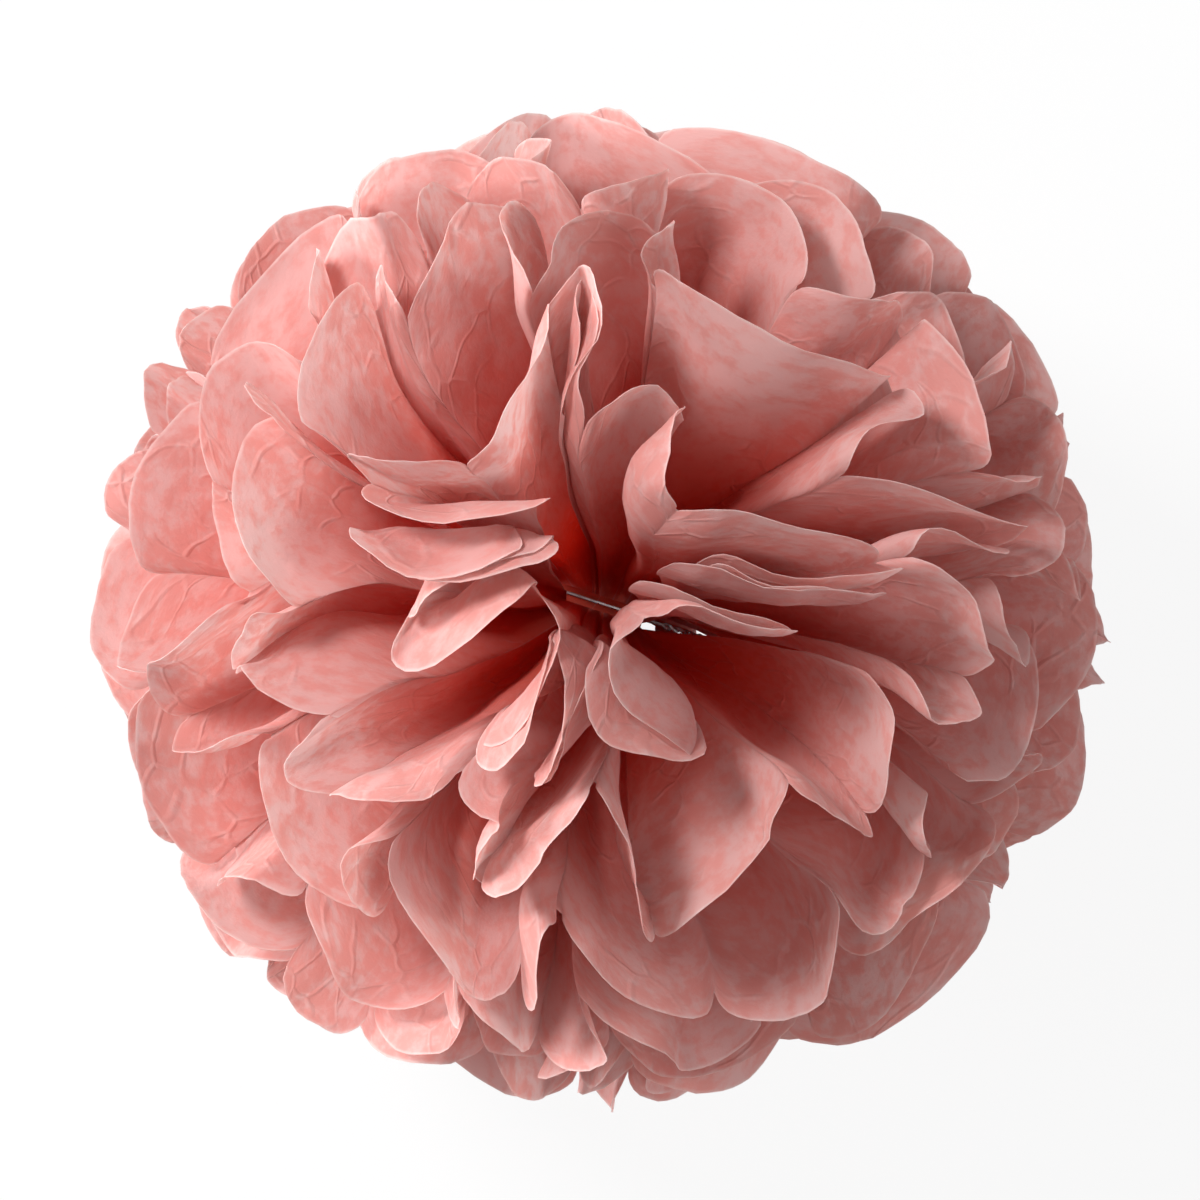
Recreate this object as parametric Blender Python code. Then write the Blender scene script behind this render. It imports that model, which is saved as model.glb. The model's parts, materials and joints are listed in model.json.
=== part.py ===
# Tissue paper pom pom. Twelve sheets of tissue are stacked, folded like an accordion, tied in the
# middle and cut round at both ends. Each half then fans out over half a turn, and the sheets are
# pulled apart, six up and six down, until their petals fill a ball.
#
# Metres, +Z up. The axis that the petals open around stands upright, and the ball rests on the
# petals of its underside. The origin lies on the table, under the middle of the ball.

import math
import random

import bmesh
import bpy
from mathutils import Vector, noise

# The ball
BALL_RADIUS = 0.125             # half the length of the folded strip
TIE_HEIGHT = 0.116              # the tie over the table, which levels the lowest petals
SLIT_DIRECTION = -18.0          # degrees from +X to the slit between the two fans

# The sheets
SHEET_WIDTH = 0.500             # across the folds, before folding
PANELS = 12                     # panels of a folded sheet
PANEL_WIDTH = SHEET_WIDTH / PANELS
PAPER = 0.0004                  # thickness of the solid
BAND_EDGES = (4.0, 33.0, 47.0, 59.5, 71.0, 81.0, 90.0)  # degrees from the pole, sheet by sheet
BAND_GAP = 1.4                  # degrees kept clear between two sheets
ROUNDING = 0.012                # how far a petal's corners are cut back
PETAL_SPREAD = 0.05             # share by which petals differ in length
SEGMENTS = 4                    # straight stretches along a petal's edge
BEND_AT = 0.45                  # where along the paper the middle row of points lies

# How the folds open
CLOSED_SHARE = 0.35             # share of the folds that stay nearly closed
CLOSED_CONTRAST = 1.5           # how much narrower those are near the pole
CLOSED_OPENING = (0.35, 0.6)
WIDE_OPENING = (1.0, 1.8)
DRIFT_WAVES = 2.6               # how often the first sheet's folds drift in and out over its fan
BOW = 0.24                      # how far a panel bends sideways, as a share of its width
BOW_SPREAD = 0.12
BOW_TURN = 1.2                  # radians by which the bend changes from one open fold to the next
HANDLE = 0.36                   # how far a crease's direction carries along a panel
SOFTNESS = (0.15, 0.6, 0.9, 1.0)  # near 0 a fold is sharp, and at 1 it rolls round in a soft loop

# How every sheet is bent alike
FLARE = 8.0                     # degrees by which the paper stands steeper near the tie
SLIT_TURN = 14.0                # degrees by which the slit wanders from sheet to sheet
SLIT_INSIDE = 0.0050            # half the slit's width between the innermost petals
SLIT_OUTSIDE = 0.0016           # half the slit's width between the outermost petals
# Waves round the ball: degrees, how many, phase
LEAN_WAVES = ((2.6, 2, 0.7), (1.9, 3, 2.1), (2.2, 5, 0.0), (1.6, 12, 0.4), (1.6, 8, 1.1))
TWIST_WAVES = ((4.0, 3, 1.3),)
# The size and depth of a bend, as shares of the ball's radius, and a phase
CRUMPLE = ((0.48, 0.170, 45.9), (0.224, 0.060, 27.7), (0.096, 0.012, 13.3))
CRUMPLE_WAYS = ((0.0, 0.0, 0.0), (17.3, 5.1, 2.9), (31.7, 11.9, 23.3))  # keeps X, Y and Z apart
CRUMPLE_RADIAL = 0.15           # share of the crumple that may lengthen or shorten a petal
CRUMPLE_FADE = 2.2              # how fast it fades towards the tie

# The gathered middle
NECK_HALF_WIDTH = 0.011
NECK_PITCH = 0.0009             # from sheet to sheet through the tie
NECK_REACH = 0.0018             # half length of the innermost sheet's flat middle
NECK_STEP = 0.0011              # each next sheet's middle is this much longer at each end

# The tie wire
WIRE_DIAMETER = 0.0008
WIRE_CLEARANCE = 0.0003
TAIL_LENGTH = 0.014
TAIL_TURNS = 2.5
TAIL_POINTS = 13

SEED = 8


def clear_scene():
    for thing in list(bpy.data.objects):
        bpy.data.objects.remove(thing, do_unlink=True)


def make_material(name, colour, roughness, metallic):
    material = bpy.data.materials.new(name)
    material.use_nodes = True
    shader = material.node_tree.nodes["Principled BSDF"]
    shader.inputs["Base Color"].default_value = (*colour, 1.0)
    shader.inputs["Roughness"].default_value = roughness
    shader.inputs["Metallic"].default_value = metallic
    material.diffuse_color = (*colour, 1.0)
    return material


def plane_point(azimuth, polar):
    # The rosette seen down its axis: a direction becomes a point as far out as its polar angle.
    angle = math.radians(azimuth)
    return Vector((polar * math.cos(angle), polar * math.sin(angle)))


def fold_openings(rng):
    # Some folds stay closed and others open wide. The sheets are folded as one stack, so they open alike.
    return [
        rng.uniform(*CLOSED_OPENING) if rng.random() < CLOSED_SHARE else rng.uniform(*WIDE_OPENING)
        for _ in range(PANELS)
    ]


def crease_azimuths(rng, openings, around):
    # Near the pole the folds have room to open very unevenly, and round the middle they share it.
    step = math.radians(180.0 / PANELS)
    freedom = 0.55 * (PANEL_WIDTH / (around * step) - 1.0)
    freedom = min(CLOSED_CONTRAST, max(0.3, freedom))
    gaps = [opening ** freedom * rng.uniform(0.85, 1.15) for opening in openings]
    azimuths = [0.0]
    for gap in gaps:
        azimuths.append(azimuths[-1] + 180.0 * gap / sum(gaps))
    return azimuths


def panel_reach(advance):
    # How many degrees in or out a panel goes that also goes this far round.
    return math.degrees(math.sqrt(max(PANEL_WIDTH ** 2 - advance ** 2, 0.0)) / BALL_RADIUS)


def crease_points(rng, low, high, side, sign, azimuths, around):
    # The creases swing in and out by no more than a panel's width, about a line that drifts through
    # the room that a wide band leaves.
    middle = 0.5 * (low + high)
    drift = max(0.0, 0.5 * (high - low - 0.9 * panel_reach(0.0)))
    phase = rng.uniform(0.0, 2.0 * math.pi)
    polar = middle + sign * 0.35 * (high - low)
    points = [plane_point(180.0 * side, polar)]
    for before, azimuth in zip(azimuths, azimuths[1:]):
        sign = -sign
        reach = panel_reach(around * math.radians(azimuth - before))
        centre = middle + drift * math.sin(phase + DRIFT_WAVES * math.radians(azimuth))
        wanted = centre + sign * 0.5 * reach * rng.uniform(0.8, 1.1)
        polar = min(max(wanted, low, polar - reach), high, polar + reach)
        points.append(plane_point(180.0 * side + azimuth, polar))
    return points


def panel_bows(rng, creases):
    # Panels that lie close bow the same way, so no fold cuts through the next.
    bows, phase = [], rng.uniform(0.0, 2.0 * math.pi)
    for start, end in zip(creases, creases[1:]):
        opening = min(1.0, start.angle(end, 0.0) * PANELS / math.pi)
        phase += BOW_TURN * opening
        bow = BOW * math.sin(phase) + BOW_SPREAD * opening * rng.uniform(-1.0, 1.0)
        bows.append(bow if end.length > start.length else -bow)
    return bows


def edge_line(rng, creases):
    # The line that a sheet's edge follows from crease to crease, as one curve for each panel.
    softness = [rng.choice(SOFTNESS) for _ in creases]
    bows = panel_bows(rng, creases)
    last = len(creases) - 1
    turns = [(creases[min(k + 1, last)] - creases[max(k - 1, 0)]).normalized() for k in range(last + 1)]
    line = []
    for k in range(PANELS):
        start, end = creases[k], creases[k + 1]
        chord = end - start
        length = chord.length
        straight = chord.normalized()
        across = Vector((-straight.y, straight.x)) * bows[k] * length
        first = start + straight.lerp(turns[k], softness[k]) * length * HANDLE + across
        second = end - straight.lerp(turns[k + 1], softness[k + 1]) * length * HANDLE + across
        for j in range(SEGMENTS + (k == PANELS - 1)):
            t = panel_share(j / SEGMENTS)
            s = 1.0 - t
            line.append(start * s ** 3 + first * 3 * s * s * t + second * 3 * s * t * t + end * t ** 3)
    return line


def panel_share(even):
    # Points lie closer together near the creases, where the edge turns.
    return 0.5 - 0.5 * math.cos(math.pi * even)


def waves(table, turn):
    return sum(height * math.sin(count * turn + phase) for height, count, phase in table)


def swirl(azimuth, polar):
    # Every sheet leans and twists the same way here and there, so none meets the next.
    turn, height = math.radians(azimuth), math.radians(polar)
    twist = waves(TWIST_WAVES, turn) + SLIT_TURN * math.sin(2.0 * height) * math.sin(5.0 * height + 0.5)
    return azimuth + twist, polar + waves(LEAN_WAVES, turn) * math.sin(height)


def flared(polar, share):
    # Seen from the side the paper stands steeper near the tie and flares out towards its edge.
    return polar - FLARE * math.sin(2.0 * math.radians(polar)) * (1.0 - share ** 2)


def direction(azimuth, polar):
    a = math.radians(azimuth + SLIT_DIRECTION)
    p = math.radians(polar)
    return Vector((math.sin(p) * math.cos(a), math.sin(p) * math.sin(a), math.cos(p)))


def crumpled(spot):
    # Bends all the paper round a place this way and that together, less towards the tie.
    shift = Vector((0.0, 0.0, 0.0))
    for size, depth, phase in CRUMPLE:
        place = spot / (size * BALL_RADIUS) + Vector((phase, 0.0, 0.0))
        shift += Vector([noise.noise(place + Vector(way)) for way in CRUMPLE_WAYS]) * depth * BALL_RADIUS
    outward = spot.normalized()
    shift -= outward * shift.dot(outward) * (1.0 - CRUMPLE_RADIAL)
    return spot + shift * min(1.0, (spot.length / BALL_RADIUS) ** CRUMPLE_FADE)


def petal_reach(length, across):
    # A petal's end is a half ellipse between its two creases.
    off = 2.0 * panel_share(across) - 1.0
    return length - ROUNDING * (1.0 - math.sqrt(max(1.0 - off * off, 0.0)))


def neck_point(side, share, level):
    # The gathered middle of sheet number level, counted from the top of the stack, from the tie.
    slit = math.radians(SLIT_DIRECTION)
    along = Vector((math.cos(slit), math.sin(slit), 0.0))
    across = Vector((-along.y, along.x, 0.0))
    sheets = 2 * (len(BAND_EDGES) - 1)
    order = min(level, sheets - 1 - level)
    reach = NECK_REACH + NECK_STEP * order
    sign = 1.0 if side == 0 else -1.0
    height = NECK_PITCH * (0.5 * (sheets - 1) - level)
    offset = along * NECK_HALF_WIDTH * (1.0 - 2.0 * share) * sign + across * reach * sign
    return offset + Vector((0.0, 0.0, height))


def fan_edge(rng, level, side, openings):
    # The edge of half a sheet, as azimuths, polar angles, lengths from the tie and places along
    # the gathered middle.
    sheets = 2 * (len(BAND_EDGES) - 1)
    upper = level < sheets // 2
    ring = level if upper else sheets - 1 - level
    low, high = BAND_EDGES[ring] + 0.5 * BAND_GAP, BAND_EDGES[ring + 1] - 0.5 * BAND_GAP
    around = BALL_RADIUS * math.sin(math.radians(0.5 * (low + high)))
    azimuths = crease_azimuths(rng, openings, around)
    creases = crease_points(rng, low, high, side, -1.0 if upper else 1.0, azimuths, around)
    line = edge_line(rng, creases)
    lengths = [BALL_RADIUS * (1.0 - PETAL_SPREAD * rng.random()) for _ in range(PANELS)]
    share = 0.5 * (low + high) / 90.0
    slit = math.degrees((SLIT_INSIDE + (SLIT_OUTSIDE - SLIT_INSIDE) * share) / BALL_RADIUS)
    sign = 1.0 if side == 0 else -1.0
    edge = []
    for column, point in enumerate(line):
        kept = Vector((point.x, sign * max(sign * point.y, slit)))
        polar = min(max(kept.length, low), high)
        azimuth = math.degrees(math.atan2(kept.y, kept.x))
        azimuth, polar = swirl(azimuth, polar if upper else 180.0 - polar)
        panel = min(column // SEGMENTS, PANELS - 1)
        across = column / SEGMENTS - panel
        gather = (azimuths[panel] * (1.0 - across) + azimuths[panel + 1] * across) / 180.0
        edge.append((azimuth, polar, petal_reach(lengths[panel], across), gather))
    return edge


def fan_rows(edge, side, level):
    # Three rows of points: at the tie, part of the way out and along the edge. A petal that would
    # reach below the table ends on it.
    tie = Vector((0.0, 0.0, TIE_HEIGHT))
    neck, bend, rim = [], [], []
    for azimuth, polar, reach, gather in edge:
        start = neck_point(side, gather, level)
        middle = crumpled(start.lerp(direction(azimuth, flared(polar, BEND_AT)) * reach, BEND_AT))
        end = crumpled(direction(azimuth, polar) * reach)
        kept = min(1.0, TIE_HEIGHT / max(-end.z, TIE_HEIGHT))
        neck.append(tie + start)
        bend.append(tie + middle * (1.0 - (1.0 - kept) * BEND_AT ** 2))
        rim.append(tie + end * kept)
    return neck, bend, rim


def mitres(neck, rim):
    # Half the paper's thickness across each column, so that both faces stay parallel at a crease.
    faces = []
    for a in range(len(rim) - 1):
        along = rim[a + 1] - rim[a]
        out = 0.5 * (rim[a] + rim[a + 1]) - 0.5 * (neck[a] + neck[a + 1])
        faces.append(along.cross(out).normalized())
    steps = []
    for column in range(len(rim)):
        first = faces[max(column - 1, 0)]
        second = faces[min(column, len(faces) - 1)]
        middle = (first + second).normalized()
        steps.append(middle * (0.5 * PAPER / max(middle.dot(first), 0.5)))
    return steps


def add_fan(mesh, edge, side, level):
    # Both faces of one fan, its cut edge and its two side edges. Returns its points at the tie.
    neck, bend, rim = fan_rows(edge, side, level)
    steps = mitres(neck, rim)
    last = len(rim) - 1
    down = Vector((0.0, 0.0, -0.5 * PAPER))
    creases = range(0, last + 1, SEGMENTS)
    rows = []
    for sign in (-1.0, 1.0):
        neck_row = {column: mesh.verts.new(neck[column] + down * sign) for column in creases}
        bend_row = [mesh.verts.new(bend[column] + steps[column] * sign) for column in range(last + 1)]
        rim_row = []
        for column in range(last + 1):
            step = steps[column] * sign
            if rim[column].z < PAPER:
                step = Vector((step.x, step.y, -rim[column].z))
            rim_row.append(mesh.verts.new(rim[column] + step))
        rows.append((neck_row, bend_row, rim_row))
    for neck_row, bend_row, rim_row in rows:
        for column in creases[:-1]:
            here, there = neck_row[column], neck_row[column + SEGMENTS]
            half = column + SEGMENTS // 2
            mesh.faces.new((here, bend_row[half], there))
            for j in range(column, column + SEGMENTS):
                mesh.faces.new((here if j < half else there, bend_row[j], bend_row[j + 1]))
        for column in range(last):
            mesh.faces.new((bend_row[column], rim_row[column], rim_row[column + 1], bend_row[column + 1]))
    (neck_top, bend_top, rim_top), (neck_low, bend_low, rim_low) = rows
    for column in range(last):
        mesh.faces.new((rim_top[column], rim_low[column], rim_low[column + 1], rim_top[column + 1]))
    for column in (0, last):
        mesh.faces.new((neck_top[column], neck_low[column], bend_low[column], bend_top[column]))
        mesh.faces.new((bend_top[column], bend_low[column], rim_low[column], rim_top[column]))
    return [neck_top[column] for column in creases], [neck_low[column] for column in creases]


def finish_mesh(mesh, name, material):
    bmesh.ops.recalc_face_normals(mesh, faces=mesh.faces)
    bmesh.ops.triangulate(mesh, faces=mesh.faces)
    data = bpy.data.meshes.new(name)
    mesh.to_mesh(data)
    mesh.free()
    data.materials.append(material)
    thing = bpy.data.objects.new(name, data)
    bpy.context.scene.collection.objects.link(thing)
    return thing


def make_sheet(level, openings, material):
    # One sheet: two fans that the flat gathered middle joins through the tie.
    rng = random.Random(SEED * 100 + level)
    mesh = bmesh.new()
    necks = []
    for side in (0, 1):
        edge = fan_edge(rng, level, side, openings[side])
        necks.append(add_fan(mesh, edge, side, level))
    (top_a, low_a), (top_b, low_b) = necks[0], [row[::-1] for row in necks[1]]
    for first, second in ((top_a, top_b), (low_a, low_b)):
        for k in range(PANELS):
            mesh.faces.new((first[k], first[k + 1], second[k + 1], second[k]))
    for k in (0, PANELS):
        mesh.faces.new((top_a[k], top_b[k], low_b[k], low_a[k]))
    return finish_mesh(mesh, f"tissue_sheet_{level + 1:02d}", material)


def tail_strand(turn):
    # One of the two wire ends, from the loop outwards, wound round the other.
    strand = 0.5 * WIRE_DIAMETER + 0.5 * WIRE_CLEARANCE
    start = NECK_HALF_WIDTH + 6.0 * WIRE_DIAMETER
    points = []
    for j in range(TAIL_POINTS + 1):
        share = j / TAIL_POINTS
        angle = turn + 2.0 * math.pi * TAIL_TURNS * share
        points.append(Vector((start + TAIL_LENGTH * share, strand * math.cos(angle), strand * math.sin(angle))))
    return points


def loop_corners():
    # The loop round the stack, from the tail's upper strand back to its lower one.
    sheets = 2 * (len(BAND_EDGES) - 1)
    off = WIRE_CLEARANCE + 0.5 * WIRE_DIAMETER
    wide = NECK_HALF_WIDTH + off
    tall = 0.5 * (NECK_PITCH * (sheets - 1) + PAPER) + off
    bend = 1.5 * WIRE_DIAMETER
    quarter = [(math.cos(0.25 * math.pi * j), math.sin(0.25 * math.pi * j)) for j in range(3)]
    upper = [(wide, 0.3 * tall)]
    upper += [(wide + bend * (c - 1.0), tall + bend * (s - 1.0)) for c, s in quarter]
    upper += [(-wide - bend * (c - 1.0), tall + bend * (s - 1.0)) for c, s in reversed(quarter)]
    outline = upper + [(x, -z) for x, z in reversed(upper)]
    return [Vector((x, 0.0, z)) for x, z in outline]


def make_wire(material):
    points = tail_strand(0.5 * math.pi)[::-1] + loop_corners() + tail_strand(-0.5 * math.pi)
    curve = bpy.data.curves.new("tie_wire", "CURVE")
    curve.dimensions = "3D"
    curve.bevel_depth = 0.5 * WIRE_DIAMETER
    curve.bevel_resolution = 1
    curve.use_fill_caps = True
    spline = curve.splines.new("POLY")
    spline.points.add(len(points) - 1)
    for spot, point in zip(spline.points, points):
        spot.co = (*point, 1.0)
    curve.materials.append(material)
    wire = bpy.data.objects.new("tie_wire", curve)
    wire.location = (0.0, 0.0, TIE_HEIGHT)
    wire.rotation_euler = (0.0, 0.0, math.radians(SLIT_DIRECTION))
    bpy.context.scene.collection.objects.link(wire)
    return wire


def centre_over_origin(sheets, wire):
    # The ball isn't quite even, so it is moved until the origin lies under the middle of its box.
    spots = [vertex.co for sheet in sheets for vertex in sheet.data.vertices]
    shift_x = -0.5 * (min(s.x for s in spots) + max(s.x for s in spots))
    shift_y = -0.5 * (min(s.y for s in spots) + max(s.y for s in spots))
    for thing in sheets + [wire]:
        thing.location.x += shift_x
        thing.location.y += shift_y


def build():
    clear_scene()
    tissue = make_material("tissue", (0.62, 0.25, 0.21), 0.85, 0.0)
    steel = make_material("wire_steel", (0.55, 0.55, 0.57), 0.35, 1.0)
    rng = random.Random(SEED)
    openings = [fold_openings(rng), fold_openings(rng)]
    levels = range(2 * (len(BAND_EDGES) - 1))
    sheets = [make_sheet(level, openings, tissue) for level in levels]
    wire = make_wire(steel)
    centre_over_origin(sheets, wire)


build()
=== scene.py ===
import json
import math
import random

import bpy
import numpy as np
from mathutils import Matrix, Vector, noise


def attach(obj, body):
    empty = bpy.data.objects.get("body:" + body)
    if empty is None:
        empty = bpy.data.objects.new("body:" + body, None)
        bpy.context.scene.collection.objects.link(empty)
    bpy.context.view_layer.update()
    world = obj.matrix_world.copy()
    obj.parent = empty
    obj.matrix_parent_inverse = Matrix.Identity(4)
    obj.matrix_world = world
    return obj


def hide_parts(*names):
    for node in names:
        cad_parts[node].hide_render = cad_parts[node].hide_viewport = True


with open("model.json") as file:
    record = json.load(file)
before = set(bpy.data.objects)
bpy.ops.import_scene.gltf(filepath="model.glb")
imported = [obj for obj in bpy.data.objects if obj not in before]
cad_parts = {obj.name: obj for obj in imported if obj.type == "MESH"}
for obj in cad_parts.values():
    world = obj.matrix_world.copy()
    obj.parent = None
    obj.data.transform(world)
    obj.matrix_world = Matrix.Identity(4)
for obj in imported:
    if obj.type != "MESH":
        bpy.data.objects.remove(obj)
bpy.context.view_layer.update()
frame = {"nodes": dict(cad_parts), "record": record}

mounts = {mount["name"]: mount for mount in frame["record"]["mounts"]}
tie = Vector(mounts["tie"]["pos_m"])

# What every sheet shares: metres and degrees
ball = {
    "radius": 0.125,            # half the folded strip
    "slitDirection": -18.0,     # from +X to the slit between the two fans
    "bandEdges": (4.0, 33.0, 47.0, 59.5, 71.0, 81.0, 90.0),   # degrees from the pole, sheet by sheet
    "bandGap": 1.4,
    "seed": 8,
}
petals = {
    "panels": 12,               # folds of one fan
    "panelWidth": 0.500 / 12,   # a 500 mm sheet
    "rounding": 0.012,          # how far the corners are cut back
    "spread": 0.05,             # share by which petals differ in length
    "closedShare": 0.35,        # share of the folds that stay nearly closed
    "closedContrast": 1.5,      # how much narrower those are near the pole
    "leastContrast": 0.3,       # and round the middle
    "contrastRise": 0.55,
    "closedOpening": (0.35, 0.6),
    "wideOpening": (1.0, 1.8),
    "openingSpread": (0.85, 1.15),
    "firstCrease": 0.35,        # share of the band from its middle to the first crease
    "swing": (0.8, 1.1),        # how far a crease swings out, as a share of its panel's reach
    "driftRoom": 0.9,           # share of a panel's reach that the drift keeps free
    "driftWaves": 2.6,          # how often the first sheet's folds drift in and out
    "bow": 0.24,                # how far a panel bends sideways, as a share of its width
    "bowSpread": 0.12,
    "bowTurn": 1.2,
    "handle": 0.36,
    "softness": (0.15, 0.6, 0.9, 1.0),   # near 0 a fold is sharp, at 1 it rolls round
    "columns": 22,              # stretches across one petal in the finished mesh
    "paper": 0.00012,
}
cut = {                         # what scissors leave: size along the edge, depth
    "facets": (0.015, 0.0013),
    "nicks": (0.0035, 0.0006),
}
wrinkles = {                    # how the thin paper itself buckles: size across, size along, depth
    "ribs": (0.0045, 0.045, 0.0005),
    "dents": (0.017, 0.026, 0.0009),
    "crinkles": (0.008, 0.010, 0.0015),
    "crinkleLine": 0.4,         # below this the crinkles' noise lifts the paper, above it they dent it
    "crinklePatch": 0.05,       # size of the places that are crinkled
    "curl": (0.045, 0.0022),    # the last millimetres roll one way and the other
    "curlPower": 9.0,
    "fade": 1.5,                # how fast all of them fade towards the tie
}
bend = {
    "flare": 8.0,               # degrees by which the paper stands steeper near the tie
    "slitTurn": 14.0,           # degrees by which the slit wanders from sheet to sheet
    "slitWave": (5.0, 0.5),     # its waves from pole to pole, and their phase
    "slitInside": 0.0050,       # half its width between the innermost petals
    "slitOutside": 0.0016,
    # degrees, how many waves, phase
    "lean": ((2.6, 2, 0.7), (1.9, 3, 2.1), (2.2, 5, 0.0), (1.6, 12, 0.4), (1.6, 8, 1.1)),
    "twist": ((4.0, 3, 1.3),),
    # size and depth as shares of the radius, phase
    "crumple": ((0.48, 0.170, 45.9), (0.224, 0.060, 27.7), (0.096, 0.012, 13.3)),
    "crumpleWays": ((0.0, 0.0, 0.0), (17.3, 5.1, 2.9), (31.7, 11.9, 23.3)),   # keeps X, Y and Z apart
    "crumpleRadial": 0.15,      # share of it that may lengthen or shorten a petal
    "crumpleFade": 2.2,         # how fast it fades towards the tie
}
neck = {"halfWidth": 0.011, "pitch": 0.0009, "reach": 0.0018, "step": 0.0011}
sheetCount = 2 * (len(ball["bandEdges"]) - 1)


def planePoint(azimuth, polar):
    # the rosette seen down its axis, each direction as far out as its angle from the pole
    angle = math.radians(azimuth)
    return Vector((polar * math.cos(angle), polar * math.sin(angle)))


def foldOpenings(rng):
    # some folds stay closed and others open wide, alike in every sheet of the stack
    return [
        rng.uniform(*petals["closedOpening"]) if rng.random() < petals["closedShare"]
        else rng.uniform(*petals["wideOpening"])
        for _ in range(petals["panels"])
    ]


def creaseAzimuths(rng, openings, around):
    # near the pole the folds have room to open very unevenly
    step = math.radians(180.0 / petals["panels"])
    freedom = petals["contrastRise"] * (petals["panelWidth"] / (around * step) - 1.0)
    freedom = min(petals["closedContrast"], max(petals["leastContrast"], freedom))
    gaps = [opening ** freedom * rng.uniform(*petals["openingSpread"]) for opening in openings]
    azimuths = [0.0]
    for gap in gaps:
        azimuths.append(azimuths[-1] + 180.0 * gap / sum(gaps))
    return azimuths


def panelReach(advance):
    # degrees in or out that a panel goes when it also goes this far round
    return math.degrees(math.sqrt(max(petals["panelWidth"] ** 2 - advance ** 2, 0.0)) / ball["radius"])


def creasePoints(rng, low, high, side, sign, azimuths, around):
    # creases swing in and out about a line that drifts through the room of a wide band
    middle = 0.5 * (low + high)
    drift = max(0.0, 0.5 * (high - low - petals["driftRoom"] * panelReach(0.0)))
    phase = rng.uniform(0.0, 2.0 * math.pi)
    polar = middle + sign * petals["firstCrease"] * (high - low)
    points = [planePoint(180.0 * side, polar)]
    for before, azimuth in zip(azimuths, azimuths[1:]):
        sign = -sign
        reach = panelReach(around * math.radians(azimuth - before))
        centre = middle + drift * math.sin(phase + petals["driftWaves"] * math.radians(azimuth))
        wanted = centre + sign * 0.5 * reach * rng.uniform(*petals["swing"])
        polar = min(max(wanted, low, polar - reach), high, polar + reach)
        points.append(planePoint(180.0 * side + azimuth, polar))
    return points


def panelBows(rng, creases):
    # panels that lie close bow the same way, so no fold cuts through the next
    bows, phase = [], rng.uniform(0.0, 2.0 * math.pi)
    for start, end in zip(creases, creases[1:]):
        opening = min(1.0, start.angle(end, 0.0) * petals["panels"] / math.pi)
        phase += petals["bowTurn"] * opening
        bow = petals["bow"] * math.sin(phase) + petals["bowSpread"] * opening * rng.uniform(-1.0, 1.0)
        bows.append(bow if end.length > start.length else -bow)
    return bows


def panelShare(even):
    # columns lie closer together near the creases, where the edge turns
    return 0.5 - 0.5 * math.cos(math.pi * even)


def edgeLine(rng, creases):
    # one curve for each panel, soft or sharp where it meets the next
    softness = [rng.choice(petals["softness"]) for _ in creases]
    bows = panelBows(rng, creases)
    last, columns, handle = len(creases) - 1, petals["columns"], petals["handle"]
    turns = [(creases[min(k + 1, last)] - creases[max(k - 1, 0)]).normalized() for k in range(last + 1)]
    line = []
    for k in range(last):
        start, end = creases[k], creases[k + 1]
        chord = end - start
        length = chord.length
        straight = chord.normalized()
        across = Vector((-straight.y, straight.x)) * bows[k] * length
        first = start + straight.lerp(turns[k], softness[k]) * length * handle + across
        second = end - straight.lerp(turns[k + 1], softness[k + 1]) * length * handle + across
        for j in range(columns + (k == last - 1)):
            t = panelShare(j / columns)
            s = 1.0 - t
            line.append(start * s ** 3 + first * 3 * s * s * t + second * 3 * s * t * t + end * t ** 3)
    return line


def waves(table, turn):
    return sum(height * math.sin(count * turn + phase) for height, count, phase in table)


def swirl(azimuth, polar):
    # every sheet leans and twists the same way here and there, so none meets the next
    turn, height = math.radians(azimuth), math.radians(polar)
    count, phase = bend["slitWave"]
    twist = waves(bend["twist"], turn)
    twist += bend["slitTurn"] * math.sin(2.0 * height) * math.sin(count * height + phase)
    return azimuth + twist, polar + waves(bend["lean"], turn) * math.sin(height)


def fanEdge(rng, level, side, openings):
    # azimuth, polar angle, length from the tie and place along the gathered middle, column by column
    panels, columns = petals["panels"], petals["columns"]
    upper = level < sheetCount // 2
    ring = level if upper else sheetCount - 1 - level
    low = ball["bandEdges"][ring] + 0.5 * ball["bandGap"]
    high = ball["bandEdges"][ring + 1] - 0.5 * ball["bandGap"]
    around = ball["radius"] * math.sin(math.radians(0.5 * (low + high)))
    azimuths = creaseAzimuths(rng, openings, around)
    creases = creasePoints(rng, low, high, side, -1.0 if upper else 1.0, azimuths, around)
    line = edgeLine(rng, creases)
    lengths = [ball["radius"] * (1.0 - petals["spread"] * rng.random()) for _ in range(panels)]
    share = 0.5 * (low + high) / 90.0
    slit = bend["slitInside"] + (bend["slitOutside"] - bend["slitInside"]) * share
    slit = math.degrees(slit / ball["radius"])
    sign = 1.0 if side == 0 else -1.0
    edge = []
    for column, point in enumerate(line):
        kept = Vector((point.x, sign * max(sign * point.y, slit)))
        polar = min(max(kept.length, low), high)
        azimuth = math.degrees(math.atan2(kept.y, kept.x))
        azimuth, polar = swirl(azimuth, polar if upper else 180.0 - polar)
        panel = min(column // columns, panels - 1)
        across = column / columns - panel
        gather = (azimuths[panel] * (1.0 - across) + azimuths[panel + 1] * across) / 180.0
        off = 2.0 * panelShare(across) - 1.0
        reach = lengths[panel] - petals["rounding"] * (1.0 - math.sqrt(max(1.0 - off * off, 0.0)))
        width = (panel + panelShare(across)) * petals["panelWidth"]
        for size, depth in cut.values():
            reach -= depth * abs(noise.noise((width / size, 9.7 * level, 4.3 * side)))
        edge.append((azimuth, polar, reach, gather, width))
    return np.array(edge)


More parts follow.
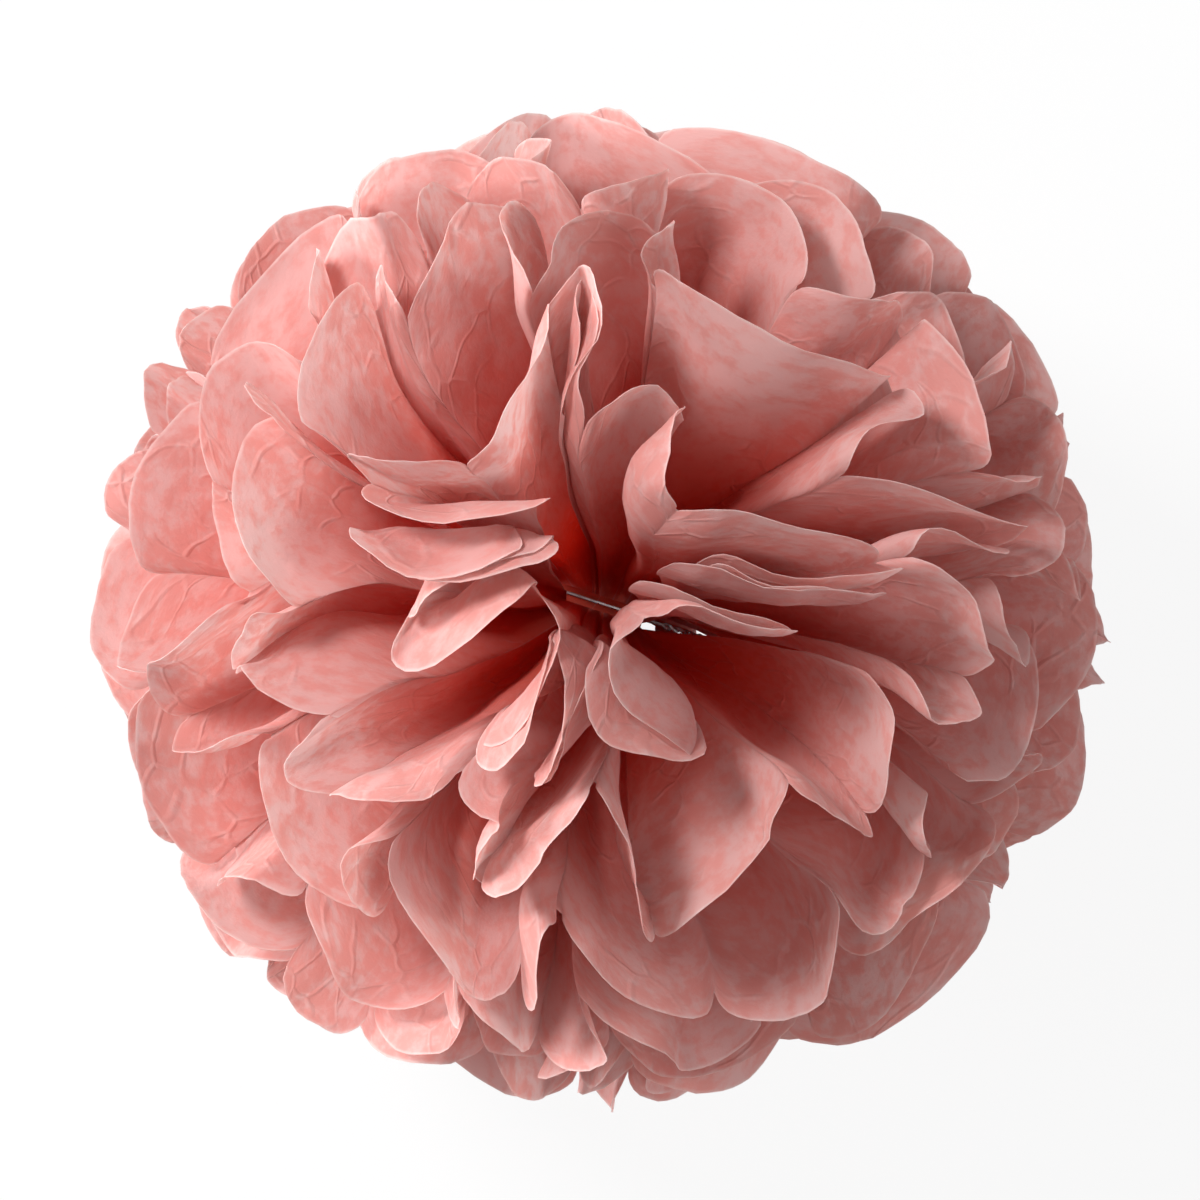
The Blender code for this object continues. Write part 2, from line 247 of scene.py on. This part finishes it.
def directions(azimuth, polar):
    a = np.radians(azimuth + ball["slitDirection"])
    p = np.radians(polar)
    return np.stack([np.sin(p) * np.cos(a), np.sin(p) * np.sin(a), np.cos(p)], axis=-1)


def neckRow(side, level, gather):
    slit = math.radians(ball["slitDirection"])
    along = np.array([math.cos(slit), math.sin(slit), 0.0])
    across = np.array([-along[1], along[0], 0.0])
    reach = neck["reach"] + neck["step"] * min(level, sheetCount - 1 - level)
    sign = 1.0 if side == 0 else -1.0
    height = neck["pitch"] * (0.5 * (sheetCount - 1) - level)
    spots = along * neck["halfWidth"] * (1.0 - 2.0 * gather[:, None]) * sign
    return spots + across * reach * sign + np.array([0.0, 0.0, height])


# rows of points from the tie to the cut edge, closer together where the paper shows
rowShares = np.concatenate([
    [0.0, 0.04, 0.09, 0.15, 0.21, 0.27, 0.33, 0.39, 0.45, 0.50],
    np.linspace(0.54, 0.97, 19),
    [0.988, 1.0],
])


def crumpled(points):
    # bends all the paper round a place this way and that together, less towards the tie
    shape = points.shape
    flat = points.reshape(-1, 3)
    moved = np.empty_like(flat)
    ways = [Vector(way) for way in bend["crumpleWays"]]
    for index, point in enumerate(flat):
        spot = Vector(point)
        shift = Vector((0.0, 0.0, 0.0))
        for size, depth, phase in bend["crumple"]:
            place = spot / (size * ball["radius"]) + Vector((phase, 0.0, 0.0))
            shift += Vector([noise.noise(place + way) for way in ways]) * depth * ball["radius"]
        outward = spot.normalized()
        shift -= outward * shift.dot(outward) * (1.0 - bend["crumpleRadial"])
        moved[index] = spot + shift * min(1.0, (spot.length / ball["radius"]) ** bend["crumpleFade"])
    return moved.reshape(shape)


def wrinkled(points, width, side, level):
    # small buckles of each sheet's own, none near the tie
    normals = surfaceNormals(points)
    own = 5.3 * level + 2.9 * side
    depths = np.empty(points.shape[:2])
    for row, share in enumerate(rowShares):
        along = share * ball["radius"]
        for column, across in enumerate(width):
            depth = 0.0
            for name in ("ribs", "dents"):
                wide, long, high = wrinkles[name]
                depth += high * noise.noise((across / wide, along / long, own))
            wide, long, high = wrinkles["crinkles"]
            patch = wrinkles["crinklePatch"]
            patch = max(0.0, noise.noise((across / patch, along / patch, own + 31.0)))
            line = abs(noise.noise((across / wide, along / long, own + 17.0)))
            depth += high * patch * (wrinkles["crinkleLine"] - line)
            size, high = wrinkles["curl"]
            depth += high * noise.noise((across / size, own, 3.0)) * share ** wrinkles["curlPower"]
            depths[row, column] = depth * share ** wrinkles["fade"]
    return points + normals * depths[:, :, None]


def fanSurface(edge, side, level):
    # rows by columns by xyz, from the tie out to the cut edge; a petal that would reach below the
    # table ends on it
    azimuth, polar, reach, gather, width = edge.T
    start = neckRow(side, level, gather)
    rows = []
    for share in rowShares:
        steep = polar - bend["flare"] * np.sin(2.0 * np.radians(polar)) * (1.0 - share ** 2)
        out = directions(azimuth, steep) * reach[:, None]
        rows.append(start * (1.0 - share) + out * share)
    points = wrinkled(crumpled(np.array(rows)), width, side, level)
    kept = np.minimum(1.0, tie.z / np.maximum(-points[-1, :, 2], tie.z))
    return points * (1.0 - (1.0 - kept)[None, :, None] * (rowShares ** 2)[:, None, None])


def surfaceNormals(points):
    along = np.gradient(points, axis=1)
    out = np.gradient(points, axis=0)
    across = np.cross(along, out)
    return across / np.maximum(np.linalg.norm(across, axis=2, keepdims=True), 1e-12)


def addGrid(vertices, faces, spots, points, width, side, level):
    # both faces of a fan, its cut edge and side edges, as one closed skin; spots are the places on
    # the flat sheet, in metres
    rows, columns = points.shape[:2]
    normals = surfaceNormals(points)
    normals[0] = np.array([0.0, 0.0, -1.0])
    half = 0.5 * petals["paper"]
    base = sum(len(block) for block in vertices)
    top = points - normals * half
    low = points + normals * half
    vertices.append(top.reshape(-1, 3))
    vertices.append(low.reshape(-1, 3))
    flat = np.empty((rows, columns, 2))
    flat[:, :, 0] = width[None, :] + 15.0 * petals["panelWidth"] * level   # no two sheets alike
    flat[:, :, 1] = rowShares[:, None] * ball["radius"] * (1.0 if side == 0 else -1.0)
    spots += [flat.reshape(-1, 2)] * 2
    count = rows * columns
    index = base + np.arange(count).reshape(rows, columns)
    a, b = index[:-1, :-1], index[:-1, 1:]
    c, d = index[1:, 1:], index[1:, :-1]
    faces.append(np.stack([a, d, c, b], axis=-1).reshape(-1, 4))
    faces.append(np.stack([a + count, b + count, c + count, d + count], axis=-1).reshape(-1, 4))
    r0, r1 = index[-1, :-1], index[-1, 1:]
    faces.append(np.stack([r0, r0 + count, r1 + count, r1], axis=-1))
    s0, s1 = index[:-1, 0], index[1:, 0]
    faces.append(np.stack([s0, s0 + count, s1 + count, s1], axis=-1))
    e0, e1 = index[:-1, -1], index[1:, -1]
    faces.append(np.stack([e1, e1 + count, e0 + count, e0], axis=-1))
    return index[0], index[0] + count


def makeSheet(level, openings):
    rng = random.Random(ball["seed"] * 100 + level)
    vertices, faces, spots, necks = [], [], [], []
    for side in (0, 1):
        edge = fanEdge(rng, level, side, openings[side])
        points = fanSurface(edge, side, level)
        necks.append(addGrid(vertices, faces, spots, points, edge[:, 4], side, level))
    (topA, lowA), (topB, lowB) = necks
    topB, lowB = topB[::-1], lowB[::-1]
    faces.append(np.stack([topA[:-1], topA[1:], topB[1:], topB[:-1]], axis=-1))
    faces.append(np.stack([lowA[:-1], lowB[:-1], lowB[1:], lowA[1:]], axis=-1))
    faces.append(np.array([[topA[0], topB[0], lowB[0], lowA[0]]]))
    faces.append(np.array([[topA[-1], lowA[-1], lowB[-1], topB[-1]]]))
    points = np.concatenate(vertices) + np.array(tie)
    points[:, 2] = np.maximum(points[:, 2], 0.0)
    name = f"tissueSheet{level + 1:02d}"
    mesh = bpy.data.meshes.new(name)
    mesh.from_pydata(points.tolist(), [], np.concatenate(faces).tolist())
    mesh.update()
    corners = np.empty(len(mesh.loops), dtype=np.int32)
    mesh.loops.foreach_get("vertex_index", corners)
    mesh.uv_layers.new(name="paper").data.foreach_set("uv", np.concatenate(spots)[corners].ravel())
    sheet = bpy.data.objects.new(name, mesh)
    bpy.context.scene.collection.objects.link(sheet)
    bpy.ops.object.select_all(action="DESELECT")
    sheet.select_set(True)
    bpy.context.view_layer.objects.active = sheet
    bpy.ops.object.shade_smooth_by_angle(angle=math.radians(60.0))
    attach(sheet, "root")
    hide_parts(f"tissue_sheet_{level + 1:02d}")
    return sheet


tissue = {
    "thinColour": (0.78, 0.43, 0.41, 1.0),
    "thickColour": (0.77, 0.37, 0.34, 1.0),
    "paintedShadeColour": (0.86, 0.14, 0.08, 1.0),      # painted shade: darker, redder paper towards the tie, where the folds lie deep
    # paler colour of fold lines, creases and the cut edge; at the cut edge it is partly torn fibres and partly a
    # painted highlight
    "creaseAndRimHighlightColour": (0.82, 0.60, 0.58, 1.0),
    "throughThin": (0.90, 0.82, 0.80, 1.0),
    "throughThick": (0.88, 0.62, 0.58, 1.0),
    # painted shade in the light that goes through the paper, towards the tie
    "throughPaintedShade": (0.95, 0.15, 0.08, 1.0),
    # the painted shade is full nearer the tie than this and gone beyond the next
    "paintedShadeFrom": 0.030,          # metres from the tie
    "paintedShadeTo": 0.119,
    "through": 0.50,            # share of the light that goes on through the paper
    "clouds": 38.0,             # patterns a metre
    "pulp": 240.0,
    "fibres": 1100.0,
    "creases": 95.0,
    "cloudShare": 0.6,          # of the clouds in the paper's thickness, next to the pulp
    "thickFrom": 0.62,
    "thickTo": 0.98,
    "creaseDrift": (70.0, 0.008),   # how often and how far creases wander
    "creaseWidth": 0.10,        # share of a crease's cell
    "creasePatches": (0.46, 0.62),  # the clouds between which creases come in
    "rimFrom": 0.0009,          # metres from the cut edge
    "rimTo": 0.0002,
    "foldLine": 0.0007,
    "foldPale": 0.35,           # how much of the edge's colour a fold line and a crease take
    "creasePale": 0.18,
    "roughness": (0.58, 0.78),
    "specular": 0.3,
    "sheen": 0.12,
    "sheenRoughness": 0.5,
    "reliefs": (0.7, 0.2, 0.9),     # of pulp, fibres and creases
    "bumpStrength": 0.45,
    "bumpDepth": 0.0004,
}


def addNode(tree, kind, values=(), **settings):
    node = tree.nodes.new(kind)
    for name, value in settings.items():
        setattr(node, name, value)
    for name, value in dict(values).items():
        node.inputs[name].default_value = value
    return node


def addNoise(tree, place, scale, detail, roughness, dimensions="2D"):
    values = {"Scale": scale, "Detail": detail, "Roughness": roughness}
    node = addNode(tree, "ShaderNodeTexNoise", values, noise_dimensions=dimensions)
    tree.links.new(place, node.inputs["Vector"])
    return node.outputs["Fac"]


def between(tree, value, low, high, first=0.0, last=1.0):
    # first below low, last above high, and smooth from one to the other
    node = addNode(tree, "ShaderNodeMapRange", {
        "From Min": low, "From Max": high, "To Min": first, "To Max": last,
    }, interpolation_type="SMOOTHSTEP")
    tree.links.new(value, node.inputs["Value"])
    return node.outputs["Result"]


def combine(tree, operation, first, second):
    node = addNode(tree, "ShaderNodeMath", operation=operation)
    for socket, value in zip(node.inputs, (first, second)):
        if isinstance(value, float):
            socket.default_value = value
        else:
            tree.links.new(value, socket)
    return node.outputs[0]


def mixColour(tree, share, first, second):
    node = addNode(tree, "ShaderNodeMix", data_type="RGBA")
    tree.links.new(share, node.inputs[0])
    for socket, value in zip((node.inputs[6], node.inputs[7]), (first, second)):
        if isinstance(value, tuple):
            socket.default_value = value
        else:
            tree.links.new(value, socket)
    return node.outputs[2]


def tissueMaterial():
    # thin dyed paper: cloudy pulp, short fibres, soft creases in places, a paler cut edge that is partly torn
    # fibres and partly a painted highlight, and painted shade towards the tie
    material = bpy.data.materials.new("dustyRoseTissue")
    material.use_nodes = True
    tree = material.node_tree
    shader = tree.nodes["Principled BSDF"]
    flat = addNode(tree, "ShaderNodeUVMap", uv_map="paper").outputs[0]
    clouds = addNoise(tree, flat, tissue["clouds"], 2.0, 0.5)
    pulp = addNoise(tree, flat, tissue["pulp"], 5.0, 0.62)
    fibres = addNoise(tree, flat, tissue["fibres"], 2.0, 0.5)
    clouded = combine(tree, "ADD", combine(tree, "MULTIPLY", clouds, tissue["cloudShare"]), pulp)
    thick = between(tree, clouded, tissue["thickFrom"], tissue["thickTo"])
    # creases wander, so they are looked up a little to one side
    often, far = tissue["creaseDrift"]
    drift = addNode(tree, "ShaderNodeTexNoise", {"Scale": often, "Detail": 1.0}, noise_dimensions="2D")
    tree.links.new(flat, drift.inputs["Vector"])
    push = addNode(tree, "ShaderNodeVectorMath", {"Scale": far}, operation="SCALE")
    tree.links.new(drift.outputs["Color"], push.inputs[0])
    moved = addNode(tree, "ShaderNodeVectorMath", operation="ADD")
    tree.links.new(flat, moved.inputs[0])
    tree.links.new(push.outputs[0], moved.inputs[1])
    cells = addNode(
        tree, "ShaderNodeTexVoronoi", {"Scale": tissue["creases"]},
        feature="DISTANCE_TO_EDGE", voronoi_dimensions="2D",
    )
    tree.links.new(moved.outputs[0], cells.inputs["Vector"])
    lines = between(tree, cells.outputs["Distance"], 0.0, tissue["creaseWidth"], 1.0, 0.0)
    creases = combine(tree, "MULTIPLY", lines, between(tree, clouds, *tissue["creasePatches"]))
    split = addNode(tree, "ShaderNodeSeparateXYZ")
    tree.links.new(flat, split.inputs[0])
    out = combine(tree, "ABSOLUTE", split.outputs["Y"], 0.0)
    # the cut edge is painted paler: partly torn fibres, partly a painted highlight
    rim = between(tree, out, ball["radius"] - tissue["rimFrom"], ball["radius"] - tissue["rimTo"])
    folds = combine(tree, "PINGPONG", split.outputs["X"], 0.5 * petals["panelWidth"])
    fold = between(tree, folds, 0.0, tissue["foldLine"], 1.0, 0.0)
    pale = combine(tree, "MAXIMUM", rim, combine(tree, "MULTIPLY", fold, tissue["foldPale"]))
    pale = combine(tree, "MAXIMUM", pale, combine(tree, "MULTIPLY", creases, tissue["creasePale"]))
    colour = mixColour(tree, thick, tissue["thinColour"], tissue["thickColour"])
    # painted shade: darker, redder paper near the tie, fading out towards the cut edge
    paintedShade = between(tree, out, tissue["paintedShadeFrom"], tissue["paintedShadeTo"], 1.0, 0.0)
    colour = mixColour(tree, paintedShade, colour, tissue["paintedShadeColour"])
    # fold lines and creases take some of the pale colour; at the cut edge it is partly a painted highlight
    tree.links.new(mixColour(tree, pale, colour, tissue["creaseAndRimHighlightColour"]), shader.inputs["Base Color"])
    rough = between(tree, pulp, 0.3, 0.7, *tissue["roughness"])
    tree.links.new(rough, shader.inputs["Roughness"])
    shader.inputs["Specular IOR Level"].default_value = tissue["specular"]
    shader.inputs["Sheen Weight"].default_value = tissue["sheen"]
    shader.inputs["Sheen Roughness"].default_value = tissue["sheenRoughness"]
    heights = [
        combine(tree, "MULTIPLY", pattern, relief)
        for pattern, relief in zip((pulp, fibres, creases), tissue["reliefs"])
    ]
    height = combine(tree, "ADD", combine(tree, "ADD", heights[0], heights[1]), heights[2])
    bump = addNode(tree, "ShaderNodeBump", {"Strength": tissue["bumpStrength"], "Distance": tissue["bumpDepth"]})
    tree.links.new(height, bump.inputs["Height"])
    tree.links.new(bump.outputs[0], shader.inputs["Normal"])
    through = tree.nodes.new("ShaderNodeBsdfTranslucent")
    glow = mixColour(tree, thick, tissue["throughThin"], tissue["throughThick"])
    # the same painted shade in the light that goes through the paper
    tree.links.new(mixColour(tree, paintedShade, glow, tissue["throughPaintedShade"]), through.inputs["Color"])
    tree.links.new(bump.outputs[0], through.inputs["Normal"])
    mix = addNode(tree, "ShaderNodeMixShader", {0: tissue["through"]})
    tree.links.new(shader.outputs[0], mix.inputs[1])
    tree.links.new(through.outputs[0], mix.inputs[2])
    tree.links.new(mix.outputs[0], tree.nodes["Material Output"].inputs["Surface"])
    return material


wire = {
    "brightColour": (0.66, 0.66, 0.68, 1.0),
    "dullColour": (0.38, 0.37, 0.37, 1.0),
    "scratches": 900.0,         # patterns a metre
    "tarnish": 120.0,
    "bumpStrength": 0.3,
    "bumpDepth": 0.00005,
}


def wireMaterial():
    material = bpy.data.materials.new("bindingWire")
    material.use_nodes = True
    tree = material.node_tree
    shader = tree.nodes["Principled BSDF"]
    place = tree.nodes.new("ShaderNodeTexCoord").outputs["Object"]
    tarnish = addNoise(tree, place, wire["tarnish"], 3.0, 0.6, "3D")
    scratches = addNoise(tree, place, wire["scratches"], 2.0, 0.5, "3D")
    dull = between(tree, tarnish, 0.45, 0.7)
    tree.links.new(mixColour(tree, dull, wire["brightColour"], wire["dullColour"]), shader.inputs["Base Color"])
    rough = between(tree, combine(tree, "ADD", dull, scratches), 0.3, 1.4, 0.26, 0.55)
    tree.links.new(rough, shader.inputs["Roughness"])
    shader.inputs["Metallic"].default_value = 1.0
    bump = addNode(tree, "ShaderNodeBump", {"Strength": wire["bumpStrength"], "Distance": wire["bumpDepth"]})
    tree.links.new(scratches, bump.inputs["Height"])
    tree.links.new(bump.outputs[0], shader.inputs["Normal"])
    return material


room = {
    "ambient": 0.19,
    "ambientColour": (0.90, 0.95, 1.0, 1.0),
    "floorColour": (0.90, 0.90, 0.90, 1.0),
    "whiteShare": 0.90,         # how much of the floor that the camera sees is plain white
    "lamps": {                  # place, width, watts
        "key": ((-0.75, 0.50, 1.15), 0.40, 18.0),
        "leftGlow": ((-1.00, 0.10, 0.06), 0.50, 21.0),
        "fill": ((0.90, -0.60, 0.90), 0.80, 4.0),
    },
    "floorSize": 6.0,
    "floorDrop": 0.0005,        # keeps the floor clear of the petals that rest on the table
    "distance": 1.0,
    "elevation": 85.5,
    "halfWidth": 600.0 / 515.0,     # half the picture's width in ball radii
    "aimDown": 5.0 / 1200.0,        # as a share of the picture's width
    "sensor": 36.0,
}


def seenDirectly(tree):
    # 1 where the camera, a reflection or a view through something looks, 0 where light falls
    path = tree.nodes.new("ShaderNodeLightPath")
    seen = combine(tree, "MAXIMUM", path.outputs["Is Camera Ray"], path.outputs["Is Glossy Ray"])
    return combine(tree, "MAXIMUM", seen, path.outputs["Is Transmission Ray"])


def makeRoom():
    # a white floor that keeps a faint shadow, a soft key from the upper left and a camera overhead
    scene = bpy.context.scene
    bpy.ops.object.select_all(action="DESELECT")
    bpy.ops.mesh.primitive_plane_add(size=room["floorSize"], location=(0.0, 0.0, -room["floorDrop"]))
    floor = bpy.context.object
    floor.name = "paleFloor"
    material = bpy.data.materials.new("paleFloor")
    material.use_nodes = True
    tree = material.node_tree
    shader = tree.nodes["Principled BSDF"]
    shader.inputs["Base Color"].default_value = room["floorColour"]
    shader.inputs["Roughness"].default_value = 0.9
    white = addNode(tree, "ShaderNodeEmission", {"Color": (1.0, 1.0, 1.0, 1.0), "Strength": 1.0})
    mix = tree.nodes.new("ShaderNodeMixShader")
    tree.links.new(combine(tree, "MULTIPLY", seenDirectly(tree), room["whiteShare"]), mix.inputs[0])
    tree.links.new(shader.outputs[0], mix.inputs[1])
    tree.links.new(white.outputs[0], mix.inputs[2])
    tree.links.new(mix.outputs[0], tree.nodes["Material Output"].inputs["Surface"])
    floor.data.materials.append(material)

    world = bpy.data.worlds.new("studio")
    scene.world = world
    world.use_nodes = True
    tree = world.node_tree
    background = tree.nodes["Background"]
    cool = mixColour(tree, seenDirectly(tree), room["ambientColour"], (1.0, 1.0, 1.0, 1.0))
    tree.links.new(cool, background.inputs["Color"])
    strength = addNode(tree, "ShaderNodeMapRange", {"To Min": room["ambient"], "To Max": 1.0})
    tree.links.new(seenDirectly(tree), strength.inputs["Value"])
    tree.links.new(strength.outputs[0], background.inputs["Strength"])

    for name, (place, size, power) in room["lamps"].items():
        data = bpy.data.lights.new(name, "AREA")
        data.size = size
        data.energy = power
        lamp = bpy.data.objects.new(name, data)
        lamp.location = place
        lamp.rotation_euler = (tie - Vector(place)).to_track_quat("-Z", "Y").to_euler()
        scene.collection.objects.link(lamp)

    camera = bpy.data.objects.new("camera", bpy.data.cameras.new("camera"))
    tilt = math.radians(room["elevation"])
    back = Vector((0.0, -math.cos(tilt), math.sin(tilt)))
    camera.location = tie + back * room["distance"]
    camera.rotation_euler = (-back).to_track_quat("-Z", "Y").to_euler()
    edge = math.tan(math.asin(ball["radius"] / room["distance"]))
    camera.data.sensor_width = room["sensor"]
    camera.data.lens = 0.5 * room["sensor"] / (edge * room["halfWidth"])
    camera.data.shift_y = room["aimDown"]
    scene.collection.objects.link(camera)
    scene.camera = camera
    scene.view_settings.view_transform = "Standard"


rng = random.Random(ball["seed"])
openings = [foldOpenings(rng), foldOpenings(rng)]
tissuePaper = tissueMaterial()
for level in range(sheetCount):
    sheet = makeSheet(level, openings)
    sheet.data.materials.append(tissuePaper)
print("sheets folded and fanned")

frame["nodes"]["tie_wire"].material_slots[0].material = wireMaterial()
print("wire finished")

makeRoom()
print("room lit")
